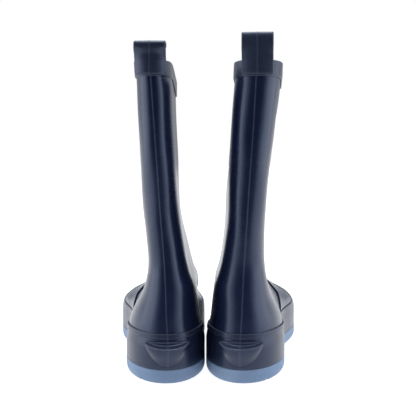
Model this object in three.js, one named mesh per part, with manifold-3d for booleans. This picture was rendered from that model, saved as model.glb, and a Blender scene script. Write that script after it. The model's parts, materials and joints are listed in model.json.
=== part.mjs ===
// A pair of tall rubber deck boots, standing side by side with the toes turned slightly out.
// Millimetres. Z is up, the toes point to +Y, the left boot stands at -X and the right at +X.
//
// Every boot is one smooth surface, and each layer of rubber or cloth is a slab between two
// offsets from it. The surface is a stack of level outlines: at each height there is a back
// line, a front line, a half width, and a round end at the heel and at the front.

import * as THREE from 'three';
import { mergeVertices } from 'three/addons/utils/BufferGeometryUtils.js';
import Module from 'manifold-3d';

const wasm = await Module();
wasm.setup();
const { Manifold, Mesh } = wasm;

// ---------------------------------------------------------------- sizes that drive the boots

const bootLength = 290;         // heel to toe, over the sole
const rimHeight = 330;          // ground to the collar at the back
const heelWidth = 86;
const waistWidth = 76;
const ballWidth = 105;
const heelRound = 64;           // the back of the heel is a half oval this deep
const shaftDepthTop = 148;      // back to front at the collar
const shaftDepthAnkle = 124;    // back to front at the ankle
const anklePinch = 14;          // the back line comes forward this much at the ankle
const inflare = 2;              // the ball of the foot sits this far to the inner side
const toeInflare = 9;           // and the tip of the toe this far

const fitGap = 0.3;             // clearance between bonded layers
const soleHeight = 14.5;
const soleFloor = 6;            // rubber under the midsole
const soleWall = 5;
const soleTuck = 3.5;           // the bottom edge of the sole is drawn in by this
const grooveDepth = 2.2;
const grooveWidth = 3;
const shankRise = 3;            // the arch of the sole clears the ground by this
const boardHeight = 2;
const footbedHeight = 4;

const legThickness = 2.2;
const liningThickness = 0.8;
const galoshThickness = 1.7;    // the foot part is laid over the leg
const stripThickness = 0.9;
const bandThickness = 1.2;
const panelThickness = 0.9;
const panelGap = 1.2;           // the instep panel starts this far above the foot part

const galoshHeelEdge = 51;      // top of the foot part at the heel
const galoshWaistEdge = 46;     // and beside the arch
const galoshFrontEdge = 98;     // and over the instep
const stripHeight = 5.5;
const panelHeight = 21;
const bandHeight = 16.5;

const strapWidth = 32;
const strapThickness = 2;
const loopBead = 5.6;           // radius of the round foot of the loop, on the hinge line
const outerTailLength = 15;
const innerTailLength = 24;

const lugWidth = 44;
const lugFoot = 17.5;           // height of the lowest point of the heel lug
const lugHead = 43;
const lugReach = 7;             // how far the lug stands out of the heel
const lugLip = 0.72;            // where the lip lies, as a part of the lug's height

// How each boot stands. The empty shafts lie nearly flat, lean outward by `lean` for each
// millimetre of height, and turn a little as they rise; yaws are in degrees, outward positive.
const boots = [
  { name: 'left', side: -1, heelX: 37.6, toeOut: 4.7, instepYaw: -3.5, shaftYaw: 0.5,
    collarYaw: -1.8, lean: 0.061, ankleWidth: 37.5, collarWidth: 35.5, collarRound: 30,
    rimDrop: 15, dropFrom: 0.3, loopHeight: 18.6, loopDepth: 19 },
  { name: 'right', side: 1, heelX: 36.2, toeOut: 7.8, instepYaw: 0.5, shaftYaw: 0.5,
    collarYaw: 6, lean: 0.059, ankleWidth: 41, collarWidth: 48, collarRound: 28,
    rimDrop: 6, dropFrom: 0.02, loopHeight: 27.4, loopDepth: 18 },
];
const leanFrom = 45;            // height where the shaft starts to lean outward

// ---------------------------------------------------------------- small curve helpers

const mix = (a, b, t) => a + (b - a) * t;
const clamp01 = (t) => Math.min(1, Math.max(0, t));
const ease = (from, to, value) => {
  const t = clamp01((value - from) / (to - from));
  return t * t * (3 - 2 * t);
};
const radians = (degrees) => degrees * Math.PI / 180;

// A smooth line through a few [place, value] knots that never overshoots them.
function lineThrough(knots) {
  const slopes = knots.map((knot, i) => {
    if (i === 0 || i === knots.length - 1) return 0;
    const before = (knot[1] - knots[i - 1][1]) / (knot[0] - knots[i - 1][0]);
    const after = (knots[i + 1][1] - knot[1]) / (knots[i + 1][0] - knot[0]);
    return before * after <= 0 ? 0 : 2 * before * after / (before + after);
  });
  return (place) => {
    if (place <= knots[0][0]) return knots[0][1];
    let i = 0;
    while (i < knots.length - 2 && place > knots[i + 1][0]) i += 1;
    const [start, low] = knots[i];
    const [end, high] = knots[i + 1];
    const run = end - start;
    const t = clamp01((place - start) / run);
    return low * (1 + 2 * t) * (1 - t) ** 2 + slopes[i] * run * t * (1 - t) ** 2
      + high * t * t * (3 - 2 * t) + slopes[i + 1] * run * t * t * (t - 1);
  };
}

// A quarter round of the given radius, as a factor from 0 at the end to 1 inside.
const roundEnd = (distance, radius) => {
  const t = clamp01(1 - distance / radius);
  return Math.sqrt(1 - t * t);
};

// ---------------------------------------------------------------- the boot surface

// Front line: toe, vamp, instep and shin. Back line: heel, ankle and calf.
const frontLine = lineThrough([
  [soleHeight, bootLength - 4], [28, bootLength - 2], [40, bootLength - 6],
  [50, bootLength * 0.93], [57, bootLength * 0.865], [63, bootLength * 0.79],
  [70, bootLength * 0.705], [78, bootLength * 0.635],
  [88, anklePinch + shaftDepthAnkle + 30], [102, anklePinch + shaftDepthAnkle + 14],
  [125, anklePinch + shaftDepthAnkle + 4], [160, anklePinch + shaftDepthAnkle],
  [rimHeight, shaftDepthTop],
]);
const backLine = lineThrough([
  [soleHeight, 2], [30, 2], [60, 5], [90, anklePinch * 0.7], [120, anklePinch],
  [165, anklePinch * 0.9], [rimHeight * 0.75, anklePinch * 0.35], [rimHeight, 0],
]);
const backRound = lineThrough([[50, heelRound], [110, 32], [rimHeight * 0.8, 28]]);
// The back of the collar has its own depth, because the strap pulls it flatter.
const backRoundOf = (boot, height) => mix(backRound(height), boot.collarRound,
  ease(rimHeight * 0.75, rimHeight, height));
const frontRound = lineThrough([[30, 66], [56, 97], [76, 57], [100, 54],
  [130, 48], [rimHeight, 44]]);

// Half width of the foot at a place along it, without the round ends.
const overHang = galoshThickness + fitGap;
const footHalfWidth = lineThrough([
  [0.22 * bootLength, heelWidth / 2 - overHang],
  [0.43 * bootLength, waistWidth / 2 - overHang],
  [0.71 * bootLength, ballWidth / 2 - overHang],
  [0.93 * bootLength, ballWidth * 0.46 - overHang],
]);
const footCentre = lineThrough([[0.12 * bootLength, 0], [0.7 * bootLength, -inflare],
  [bootLength, -toeInflare]]);

const ankleSwell = lineThrough([[88, 1.3], [128, 1.07], [165, 1]]);
const legHalfWidth = (boot, height) => boot.ankleWidth / 2 * ankleSwell(height)
  + (boot.collarWidth - boot.ankleWidth) / 2 * ease(150, rimHeight + 20, height);

function heading(boot, height) {
  const low = mix(boot.toeOut, boot.instepYaw, ease(50, 100, height));
  const high = mix(boot.shaftYaw, boot.collarYaw, ease(190, rimHeight, height));
  return radians(mix(low, high, ease(110, 180, height)));
}

// Between these heights the outline changes from the foot's to the leg's.
const legShareFrom = 38;
const legShareTo = 112;

// A point of the surface. `turn` goes once round: 0 at the back, a half turn at the front.
function surfacePoint(boot, turn, height) {
  const back = backLine(height);
  const front = frontLine(height);
  const along = back + (front - back) * (1 - Math.cos(turn)) / 2;
  const legShare = ease(legShareFrom, legShareTo, height);
  const body = mix(footHalfWidth(along), legHalfWidth(boot, height), legShare);
  const half = body * roundEnd(along - back, backRoundOf(boot, height))
    * roundEnd(front - along, frontRound(height));
  const across = footCentre(along) * (1 - legShare * 0.85) + half * Math.sign(Math.sin(turn));
  const yaw = heading(boot, height);
  const lean = boot.lean * Math.max(0, height - leanFrom);
  return new THREE.Vector3(
    boot.side * (boot.heelX + lean + across * Math.cos(yaw) + along * Math.sin(yaw)),
    along * Math.cos(yaw) - across * Math.sin(yaw),
    height,
  );
}

function surfaceNormal(boot, turn, height) {
  const step = 0.02;
  const round = surfacePoint(boot, turn + step, height)
    .sub(surfacePoint(boot, turn - step, height));
  const rise = surfacePoint(boot, turn, height + 1).sub(surfacePoint(boot, turn, height - 1));
  return round.cross(rise).normalize().multiplyScalar(boot.side);
}

const offsetPoint = (boot, turn, height, offset) => surfacePoint(boot, turn, height)
  .addScaledVector(surfaceNormal(boot, turn, height), offset);

const share = (turn) => (1 - Math.cos(turn)) / 2;    // 0 at the back, 1 at the front

// The turn at which the back of the shaft is a given half width, for the strap's edges.
function turnAtHalfWidth(boot, half) {
  let turn = 0;
  const middle = surfacePoint(boot, 0, rimHeight);
  while (surfacePoint(boot, turn, rimHeight).distanceTo(middle) < half) turn += 0.005;
  return turn;
}

// ---------------------------------------------------------------- the rows all layers share

const turnCount = 28;

// Even steps round the boot, with one step on each side moved to the strap's edge.
function turnsOf(boot) {
  const edge = turnAtHalfWidth(boot, strapWidth / 2 + 1);
  const step = 2 * Math.PI / turnCount;
  const nearest = Math.max(1, Math.round(edge / step));
  return Array.from({ length: turnCount }, (_, i) => {
    if (i === nearest) return edge;
    if (i === turnCount - nearest) return 2 * Math.PI - edge;
    return i * step;
  });
}

const galoshEdge = (turn) => {
  const s = share(turn);
  const low = mix(galoshHeelEdge, galoshWaistEdge, ease(0.1, 0.4, s));
  return mix(low, galoshFrontEdge, ease(0.64, 1, s));
};
const stripEdge = (turn) => galoshEdge(turn) - stripHeight * mix(1, 0.7, share(turn) ** 3);
const panelFoot = (turn) => galoshEdge(turn) + panelGap;
const panelEdge = (turn) => galoshEdge(turn)
  + mix(panelHeight * 0.3, panelHeight, ease(0.42, 0.72, share(turn)));
const rimOf = (boot) => (turn) => rimHeight
  - boot.rimDrop * ease(boot.dropFrom, boot.dropFrom + 0.5, share(turn));
const galoshFoot = soleHeight + fitGap;

// Height reached after a given part of the way up the front line, measured along it.
function climbOfFrontLine(part, top) {
  const heights = Array.from({ length: 61 }, (_, i) => mix(galoshFoot, top, i / 60));
  const lengths = [0];
  for (let i = 1; i < heights.length; i += 1) {
    const rise = heights[i] - heights[i - 1];
    lengths.push(lengths[i - 1]
      + Math.hypot(rise, frontLine(heights[i]) - frontLine(heights[i - 1])));
  }
  const target = part * lengths[lengths.length - 1];
  const i = Math.min(59, Math.max(0, lengths.findIndex((l) => l > target) - 1));
  if (part >= 1) return top;
  return mix(heights[i], heights[i + 1], (target - lengths[i]) / (lengths[i + 1] - lengths[i]));
}

function footRow(part) {
  const frontTop = stripEdge(Math.PI);
  const frontPart = (climbOfFrontLine(part, frontTop) - galoshFoot) / (frontTop - galoshFoot);
  return (turn) => {
    const blend = mix(part, frontPart, ease(0.55, 1, share(turn)));
    return mix(galoshFoot, stripEdge(turn), blend);
  };
}

const footRows = [0, 0.14, 0.28, 0.42, 0.56, 0.7, 0.85, 1].map(footRow);
const lapRows = footRows.slice(5);
const legParts = [0.09, 0.2, 0.33, 0.48, 0.64, 0.82];
function legRowsOf(boot) {
  const rim = rimOf(boot);
  const band = (turn) => rim(turn) - bandHeight;
  return [
    galoshEdge,
    panelFoot,
    (turn) => mix(panelFoot(turn), panelEdge(turn), 0.5),
    panelEdge,
    ...legParts.map((part) => (turn) => mix(panelEdge(turn), band(turn), part)),
    band,
    rim,
  ];
}

// ---------------------------------------------------------------- turning points into solids

const makeGeometry = (positions, indices) => {
  const geometry = new THREE.BufferGeometry();
  geometry.setAttribute('position', new THREE.Float32BufferAttribute(positions, 3));
  geometry.setIndex(indices);
  return geometry;
};

function signedVolume(positions, indices) {
  const p = (i) => new THREE.Vector3().fromArray(positions, indices[i] * 3);
  let total = 0;
  for (let i = 0; i < indices.length; i += 3) total += p(i).dot(p(i + 1).cross(p(i + 2)));
  return total / 6;
}

// A closed slab between an outer and an inner sheet of points. `wraps` joins the sheet's ends.
function slabBetween(outer, inner, wraps) {
  const rows = outer.length;
  const columns = outer[0].length;
  const positions = [...outer.flat(), ...inner.flat()].flatMap((p) => [p.x, p.y, p.z]);
  const at = (sheet, row, column) => (sheet * rows + row) * columns + (column % columns);
  const indices = [];
  const quad = (a, b, c, d) => indices.push(a, b, c, a, c, d);
  const lastColumn = wraps ? columns : columns - 1;
  const top = rows - 1;
  for (let c = 0; c < lastColumn; c += 1) {
    for (let r = 0; r < top; r += 1) {
      quad(at(0, r, c), at(0, r, c + 1), at(0, r + 1, c + 1), at(0, r + 1, c));
      quad(at(1, r, c), at(1, r + 1, c), at(1, r + 1, c + 1), at(1, r, c + 1));
    }
    quad(at(1, 0, c), at(1, 0, c + 1), at(0, 0, c + 1), at(0, 0, c));
    quad(at(0, top, c), at(0, top, c + 1), at(1, top, c + 1), at(1, top, c));
  }
  for (let r = 0; !wraps && r < top; r += 1) {
    quad(at(0, r, 0), at(0, r + 1, 0), at(1, r + 1, 0), at(1, r, 0));
    const end = columns - 1;
    quad(at(0, r, end), at(1, r, end), at(1, r + 1, end), at(0, r + 1, end));
  }
  if (signedVolume(positions, indices) < 0) indices.reverse();
  return makeGeometry(positions, indices);
}

// A layer of the boot: rows of heights, the turns it covers, and its two offsets.
function layer(boot, rows, turns, innerOffset, outerOffset, wraps = true) {
  const sheet = (offset) => rows.map((row) => turns
    .map((turn) => offsetPoint(boot, turn, row(turn), offset)));
  return slabBetween(sheet(outerOffset), sheet(innerOffset), wraps);
}

// The outline of the foot just above the sole, moved out level by an offset.
function outlinePoints(boot, turns, offset) {
  const height = soleHeight + 2;
  return turns.map((turn) => {
    const normal = surfaceNormal(boot, turn, height).setZ(0).normalize();
    const point = surfacePoint(boot, turn, height).addScaledVector(normal, offset);
    return new THREE.Vector2(point.x, point.y);
  });
}

function plate(boot, turns, bottom, height, offset) {
  const shape = new THREE.Shape(outlinePoints(boot, turns, offset));
  const geometry = new THREE.ExtrudeGeometry(shape, { depth: height, bevelEnabled: false });
  return geometry.translate(0, 0, bottom);
}

function toManifold(geometry) {
  const bare = geometry.clone();
  bare.deleteAttribute('normal');
  bare.deleteAttribute('uv');
  const merged = mergeVertices(bare, 1e-4);
  return new Manifold(new Mesh({
    numProp: 3,
    vertProperties: Float32Array.from(merged.attributes.position.array),
    triVerts: Uint32Array.from(merged.index.array),
  }));
}

function fromManifold(solid) {
  const mesh = solid.getMesh();
  return makeGeometry(Array.from(mesh.vertProperties), Array.from(mesh.triVerts));
}

// ---------------------------------------------------------------- materials

const rubber = (color, roughness) => new THREE.MeshStandardMaterial({
  color, roughness, metalness: 0 });
const navyRubber = () => rubber(0x2b344b, 0.42);
const trimRubber = () => rubber(0x303a54, 0.4);
const paleRubber = () => rubber(0x7f9ac4, 0.5);
const clothLining = () => rubber(0x3c4254, 0.95);
const foam = () => rubber(0x4b5262, 0.9);
const board = () => rubber(0x8b8577, 0.85);

// ---------------------------------------------------------------- the sole

function soleGrooves(boot) {
  const cutters = [];
  const cutAcross = (place, width, depth) => {
    const box = new THREE.BoxGeometry(2 * ballWidth, width, depth * 2);
    box.translate(0, place, 0);
    box.rotateZ(-boot.side * radians(boot.toeOut));
    box.translate(boot.side * boot.heelX, 0, 0);
    cutters.push(toManifold(box));
  };
  const heelGrooves = 4;
  for (let i = 0; i < heelGrooves; i += 1) cutAcross(18 + i * 15, grooveWidth, grooveDepth);
  const frontGrooves = 9;
  for (let i = 0; i < frontGrooves; i += 1) cutAcross(140 + i * 15, grooveWidth, grooveDepth);
  cutAcross(0.35 * bootLength, 34, shankRise);
  return cutters;
}

// A block lofted up through outlines at [height, offset], closed by a fan at each end.
function loftedBlock(boot, turns, levels) {
  const rings = levels.map(([height, offset]) => outlinePoints(boot, turns, offset)
    .map((p) => [p.x, p.y, height]));
  const count = turns.length;
  const hub = [0, 1].map((axis) => rings[0].reduce((sum, p) => sum + p[axis], 0) / count);
  const positions = [...rings.flat(), [...hub, levels[0][0]],
    [...hub, levels[levels.length - 1][0]]].flat();
  const indices = [];
  const last = (rings.length - 1) * count;
  for (let c = 0; c < count; c += 1) {
    const next = (c + 1) % count;
    for (let r = 0; r < last; r += count) {
      indices.push(r + c, r + next, r + count + next, r + c, r + count + next, r + count + c);
    }
    indices.push(next, c, last + count, last + c, last + next, last + count + 1);
  }
  if (signedVolume(positions, indices) < 0) indices.reverse();
  return makeGeometry(positions, indices);
}

function outsole(boot) {
  const turns = Array.from({ length: 44 }, (_, i) => 2 * Math.PI * i / 44);
  const block = toManifold(loftedBlock(boot, turns, [[0, overHang - soleTuck],
    [soleTuck, overHang - 0.8], [soleHeight * 0.6, overHang], [soleHeight, overHang]]));
  const hollow = toManifold(plate(boot, turns, soleFloor, soleHeight, overHang - soleWall));
  return fromManifold(Manifold.difference([block, hollow, ...soleGrooves(boot)]));
}

// ---------------------------------------------------------------- heel lug

// A spur to push the boot off with: a half-oval shelf whose lip stands out from the heel.
function heelLug(boot) {
  const acrossSteps = 12;
  const upSteps = 7;
  const reach = turnAtLugWidth(boot);
  const sheet = (stand) => Array.from({ length: upSteps + 1 }, (_, r) => (
    Array.from({ length: acrossSteps + 1 }, (_, c) => {
      const a = c / acrossSteps * 2 - 1;
      const b = r / upSteps;
      const foot = mix(lugFoot, lugHead - 6, Math.abs(a) ** 2.2);
      const rise = ease(0, lugLip, b) * (1 - 0.75 * ease(lugLip, 1, b));
      const stands = stand ? 1 + lugReach * rise * Math.sqrt(1 - 0.96 * a * a) : 0;
      return offsetPoint(boot, a * reach, mix(foot, lugHead, b), overHang + fitGap + stands);
    })));
  return slabBetween(sheet(true), sheet(false), false);
}

function turnAtLugWidth(boot) {
  let turn = 0;
  const across = () => surfacePoint(boot, turn, lugHead)
    .distanceTo(surfacePoint(boot, -turn, lugHead));
  while (across() < lugWidth) turn += 0.005;
  return turn;
}

// ---------------------------------------------------------------- pull loop

// The strap is folded over the collar: one tail outside, one inside, and a free loop above.
function strapTail(boot, turns, innerOffset, length) {
  const edge = turnAtHalfWidth(boot, strapWidth / 2 + 1);
  const covered = turns.map((turn) => (turn > Math.PI ? turn - 2 * Math.PI : turn))
    .filter((turn) => Math.abs(turn) <= edge + 1e-6).sort((a, b) => a - b);
  const rim = rimOf(boot);
  const rows = [(turn) => rim(turn) - length, (turn) => rim(turn) - length / 2, rim];
  return layer(boot, rows, covered, innerOffset, innerOffset + strapThickness, false);
}

// Outline of the standing loop seen from the side: round foot, swelling sides, round fold.
function loopOutline(boot, inset) {
  const swell = boot.loopDepth / 2 - inset;
  const foot = loopBead - inset;
  const head = boot.loopHeight - loopBead - fitGap - inset;
  const points = [];
  const footSteps = 8;
  for (let i = 0; i <= footSteps; i += 1) {
    const a = Math.PI + Math.PI * i / footSteps;
    points.push(new THREE.Vector2(foot * Math.cos(a), foot * Math.sin(a)));
  }
  const sideSteps = 9;
  for (let i = 1; i < 2 * sideSteps; i += 1) {
    const a = Math.PI * i / (2 * sideSteps);
    const widen = mix(foot, swell, ease(0, 0.7, Math.sin(a)));
    points.push(new THREE.Vector2(Math.cos(a) * widen / Math.max(Math.cos(a) ** 2, 0.001) ** 0.25,
      head * Math.sin(a)));
  }
  return points.filter((p, i) => i === 0 || p.distanceTo(points[i - 1]) > 0.2);
}

function pullLoop(boot) {
  const shape = new THREE.Shape(loopOutline(boot, 0));
  shape.holes.push(new THREE.Path(loopOutline(boot, strapThickness)));
  const geometry = new THREE.ExtrudeGeometry(shape, { depth: strapWidth, bevelEnabled: false });
  geometry.translate(0, 0, -strapWidth / 2);
  geometry.rotateX(Math.PI / 2).rotateZ(Math.PI / 2);
  const yaw = boot.side * -heading(boot, rimHeight);
  const hinge = hingePoint(boot);
  return geometry.rotateZ(yaw).translate(hinge.x, hinge.y, hinge.z);
}

function hingePoint(boot) {
  const middle = offsetPoint(boot, 0, rimHeight, 0);
  const yaw = heading(boot, rimHeight);
  const inward = 2.2;      // the hinge line lies over the middle of the collar's stack
  return new THREE.Vector3(middle.x + boot.side * inward * Math.sin(yaw),
    middle.y + inward * Math.cos(yaw), rimHeight + loopBead + fitGap);
}

// ---------------------------------------------------------------- one boot

function addBoot(group, boot) {
  const turns = turnsOf(boot);
  const rim = rimOf(boot);
  const legRows = legRowsOf(boot);
  const add = (name, geometry, material) => {
    const mesh = new THREE.Mesh(geometry, material);
    mesh.name = `${boot.name}_${name}`;
    group.add(mesh);
  };
  const liningOuter = -legThickness - fitGap;
  const liningInner = liningOuter - liningThickness;
  const boardBottom = soleHeight + fitGap;
  const footbedBottom = boardBottom + boardHeight + fitGap;

  add('outsole', outsole(boot), paleRubber());
  add('midsole', plate(boot, turns, soleFloor + fitGap, soleHeight - soleFloor - fitGap,
    overHang - soleWall - 1.6), foam());
  add('insole_board', plate(boot, turns, boardBottom, boardHeight, -fitGap), board());
  add('footbed', plate(boot, turns, footbedBottom, footbedHeight, liningInner - 0.6), foam());
  add('foot_shell', layer(boot, [...footRows, galoshEdge], turns, fitGap, overHang),
    navyRubber());
  add('leg_shell', layer(boot, [...lapRows, ...legRows], turns, -legThickness, 0),
    navyRubber());
  const liningRows = [() => footbedBottom, ...footRows.slice(1), ...legRows.slice(0, -1),
    (turn) => rim(turn) - 0.5];
  add('lining_sock', layer(boot, liningRows, turns, liningInner, liningOuter), clothLining());
  add('trim_strip', layer(boot, [stripEdge, galoshEdge], turns, overHang + fitGap,
    overHang + fitGap + stripThickness), trimRubber());
  const panelTurns = turns.filter((turn) => share(turn) > 0.46);
  add('instep_panel', layer(boot, legRows.slice(1, 4), panelTurns,
    2 * fitGap, 2 * fitGap + panelThickness, false), navyRubber());
  add('heel_lug', heelLug(boot), trimRubber());
  add('top_band', layer(boot, [(turn) => rim(turn) - bandHeight, rim], turns,
    fitGap, fitGap + bandThickness), trimRubber());
  add('loop_outer_tail', strapTail(boot, turns, 2 * fitGap + bandThickness, outerTailLength),
    trimRubber());
  add('loop_inner_tail', strapTail(boot, turns, liningInner - fitGap - strapThickness - 0.1,
    innerTailLength), trimRubber());
  add('pull_loop', pullLoop(boot), trimRubber());
}

const group = new THREE.Group();
group.name = 'deck_boots';
for (const boot of boots) addBoot(group, boot);

// Stand the pair with its box centred on the origin and its soles on the ground.
const box = new THREE.Box3().setFromObject(group);
const middle = box.getCenter(new THREE.Vector3());
for (const mesh of group.children) mesh.geometry.translate(-middle.x, -middle.y, -box.min.z);

export default group;
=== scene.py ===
# %% [markdown]
# # A pair of tall rubber deck boots
#
# The real boots are dipped and laid up on a last: a thin knitted sock, a leg sheet, a thicker
# foot part lapped over it, a trim strip over the lap, a band round the collar, a spur on the
# heel, a strap folded over the back of the collar, and a pale moulded sole.
# We start from the imported model, which fixes every place and every hinge. Each piece made
# below stands for one of its nodes, and all but the strap ride on their boot's body.

import json

import bmesh
import bpy
import numpy as np
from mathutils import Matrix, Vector


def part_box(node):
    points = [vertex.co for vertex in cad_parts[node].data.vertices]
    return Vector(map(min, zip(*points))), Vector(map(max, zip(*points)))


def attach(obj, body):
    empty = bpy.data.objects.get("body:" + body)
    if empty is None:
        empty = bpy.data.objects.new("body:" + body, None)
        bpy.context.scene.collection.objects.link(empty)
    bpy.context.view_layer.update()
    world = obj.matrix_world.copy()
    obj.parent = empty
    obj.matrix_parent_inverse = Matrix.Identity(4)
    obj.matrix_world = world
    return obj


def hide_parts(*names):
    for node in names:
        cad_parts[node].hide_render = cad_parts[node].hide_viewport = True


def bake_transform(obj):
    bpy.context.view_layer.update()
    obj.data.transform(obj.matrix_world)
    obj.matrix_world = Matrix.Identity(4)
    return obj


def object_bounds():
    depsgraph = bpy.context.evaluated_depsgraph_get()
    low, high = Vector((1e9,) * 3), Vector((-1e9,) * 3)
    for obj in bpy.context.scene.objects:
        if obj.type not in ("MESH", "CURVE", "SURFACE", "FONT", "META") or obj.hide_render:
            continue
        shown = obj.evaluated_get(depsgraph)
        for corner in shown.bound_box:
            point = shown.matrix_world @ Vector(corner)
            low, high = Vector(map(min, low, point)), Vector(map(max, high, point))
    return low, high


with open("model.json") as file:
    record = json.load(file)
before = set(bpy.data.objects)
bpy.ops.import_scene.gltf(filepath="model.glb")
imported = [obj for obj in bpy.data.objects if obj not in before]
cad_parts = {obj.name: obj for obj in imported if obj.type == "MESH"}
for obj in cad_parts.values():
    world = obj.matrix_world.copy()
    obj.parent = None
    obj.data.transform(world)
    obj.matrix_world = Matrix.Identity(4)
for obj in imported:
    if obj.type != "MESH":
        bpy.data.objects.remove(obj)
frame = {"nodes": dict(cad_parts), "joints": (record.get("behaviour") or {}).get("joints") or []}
cad_low, cad_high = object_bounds()

# %% [markdown]
# ## The sizes
#
# The boots are drawn in millimetres, with the heel of each boot at the origin of its own
# level outline. The numbers are those of the model, so a piece needs no fitting afterwards.

# %% Sizes of the pair, in millimetres
METRES = 0.001
BOOT_LENGTH = 290
RIM_HEIGHT = 330
HEEL_WIDTH = 86
WAIST_WIDTH = 76
BALL_WIDTH = 105
SOLE_HEIGHT = 14.5
FIT_GAP = 0.3
GALOSH_THICKNESS = 1.7
OVER_HANG = GALOSH_THICKNESS + FIT_GAP
LEG_THICKNESS = 2.2
LINING_THICKNESS = 0.8
STRIP_THICKNESS = 0.9
BAND_THICKNESS = 1.2
PANEL_THICKNESS = 0.9
STRIP_HEIGHT = 5.5
BAND_HEIGHT = 16.5
PANEL_HEIGHT = 21
PANEL_GAP = 1.2
STRAP_WIDTH = 32
LOOP_BEAD = 5.6
LEAN_FROM = 45
FOOT_UP_TO, LEG_DOWN_TO = 38, 112
COLLAR_FROM = 247.5
HEEL_EDGE, WAIST_EDGE, INSTEP_EDGE = 51, 46, 98

BOOTS = [
    dict(name="left", side=-1, heel_x=37.6, toe_out=4.7, instep_yaw=-3.5, shaft_yaw=0.5,
         collar_yaw=-1.8, lean=0.061, ankle=37.5, collar=35.5, collar_round=30,
         rim_drop=15, drop_from=0.3, loop_height=18.6, loop_depth=19),
    dict(name="right", side=1, heel_x=36.2, toe_out=7.8, instep_yaw=0.5, shaft_yaw=0.5,
         collar_yaw=6, lean=0.059, ankle=41, collar=48, collar_round=28,
         rim_drop=6, drop_from=0.02, loop_height=27.4, loop_depth=18),
]
print("boots:", [boot["name"] for boot in BOOTS])

# %% [markdown]
# ## Smooth lines
#
# A maker draws a boot as a few sizes at a few heights and lets a spline run through them.
# `line_through` does that, with slopes that never overshoot, so a narrow ankle stays narrow.

# %% Curve helpers
def mix(a, b, t):
    return a + (b - a) * t


def clamp01(t):
    return np.clip(t, 0.0, 1.0)


def ease(start, end, value):
    t = clamp01((np.asarray(value, float) - start) / (end - start))
    return t * t * (3 - 2 * t)


def line_through(knots):
    places, values = np.array(knots, float).T
    runs, rises = np.diff(places), np.diff(values)
    steep = rises / runs
    slopes = np.zeros(len(places))
    for i in range(1, len(places) - 1):
        before, after = steep[i - 1], steep[i]
        if before * after > 0:
            slopes[i] = 2 * before * after / (before + after)

    def line(place):
        place = np.asarray(place, float)
        i = np.clip(np.searchsorted(places, place, side="right") - 1, 0, len(runs) - 1)
        run = runs[i]
        t = clamp01((place - places[i]) / run)
        return (values[i] * (1 + 2 * t) * (1 - t) ** 2 + slopes[i] * run * t * (1 - t) ** 2
                + values[i + 1] * t * t * (3 - 2 * t) + slopes[i + 1] * run * t * t * (t - 1))

    return line


def round_end(distance, radius):
    t = clamp01(1 - distance / radius)
    return np.sqrt(np.maximum(0, 1 - t * t))


# %% [markdown]
# The lines below are the boot's pattern: how far the front and the back stand from the heel
# at each height, how round each end of the outline is, and how wide the foot is along the
# sole. A last maker checks the same few sections, because they decide the fit.

# %% The lines of a boot
front_line = line_through([
    (14.5, 286), (28, 288), (40, 284), (50, 269.7), (57, 250.85), (63, 229.1), (70, 204.45),
    (78, 184.15), (88, 168), (102, 152), (125, 142), (160, 138), (330, 148)])
back_line = line_through([(14.5, 2), (30, 2), (60, 5), (90, 9.8), (120, 14), (165, 12.6),
                          (247.5, 4.9), (330, 0)])
back_round = line_through([(50, 64), (110, 32), (264, 28)])
front_round = line_through([(30, 66), (56, 97), (76, 57), (100, 54), (130, 48), (330, 44)])
foot_half_width = line_through([
    (0.22 * BOOT_LENGTH, HEEL_WIDTH / 2 - OVER_HANG),
    (0.43 * BOOT_LENGTH, WAIST_WIDTH / 2 - OVER_HANG),
    (0.71 * BOOT_LENGTH, BALL_WIDTH / 2 - OVER_HANG),
    (0.93 * BOOT_LENGTH, BALL_WIDTH * 0.46 - OVER_HANG)])
foot_centre = line_through([(0.12 * BOOT_LENGTH, 0), (0.7 * BOOT_LENGTH, -2), (BOOT_LENGTH, -9)])
ankle_swell = line_through([(88, 1.3), (128, 1.07), (165, 1)])
print("front line at the ankle:", round(float(front_line(125)), 1), "mm")

# %% [markdown]
# ## One surface for every layer
#
# All layers follow one skin. A place on it has a `turn`, which is 0 at the back seam and a
# half turn at the toe, and a height. A layer is a slab between two offsets along the skin's
# normal, so pieces that are laid over each other on the real boot can't cross here either.

# %% The skin of a boot
def heading(boot, height):
    low = mix(boot["toe_out"], boot["instep_yaw"], ease(50, 100, height))
    high = mix(boot["shaft_yaw"], boot["collar_yaw"], ease(190, RIM_HEIGHT, height))
    return np.radians(mix(low, high, ease(110, 180, height)))


def leg_half_width(boot, height):
    return (boot["ankle"] / 2 * ankle_swell(height)
            + (boot["collar"] - boot["ankle"]) / 2 * ease(150, RIM_HEIGHT + 20, height))


def outline(boot, turn, height):
    """Place along the foot and half width there, for a turn and a height."""
    back, front = back_line(height), front_line(height)
    along = back + (front - back) * (1 - np.cos(turn)) / 2
    leg_share = ease(FOOT_UP_TO, LEG_DOWN_TO, height)
    body = mix(foot_half_width(along), leg_half_width(boot, height), leg_share)
    end_depth = mix(back_round(height), boot["collar_round"], ease(COLLAR_FROM, RIM_HEIGHT, height))
    half = (body * round_end(along - back, end_depth)
            * round_end(front - along, front_round(height)))
    return along, half, leg_share


def skin(boot, turn, height):
    turn, height = np.broadcast_arrays(np.asarray(turn, float), np.asarray(height, float))
    along, half, leg_share = outline(boot, turn, height)
    across = foot_centre(along) * (1 - 0.85 * leg_share) + half * np.sign(np.sin(turn))
    yaw = heading(boot, height)
    lean = boot["lean"] * np.maximum(0, height - LEAN_FROM)
    x = boot["heel_x"] + lean + across * np.cos(yaw) + along * np.sin(yaw)
    y = along * np.cos(yaw) - across * np.sin(yaw)
    return np.stack([boot["side"] * x, y, height], axis=-1)


def skin_normal(boot, turn, height, step=0.02):
    around = skin(boot, turn + step, height) - skin(boot, turn - step, height)
    up = skin(boot, turn, height + 1) - skin(boot, turn, height - 1)
    normal = np.cross(around, up)
    return boot["side"] * normal / np.linalg.norm(normal, axis=-1, keepdims=True)


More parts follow.
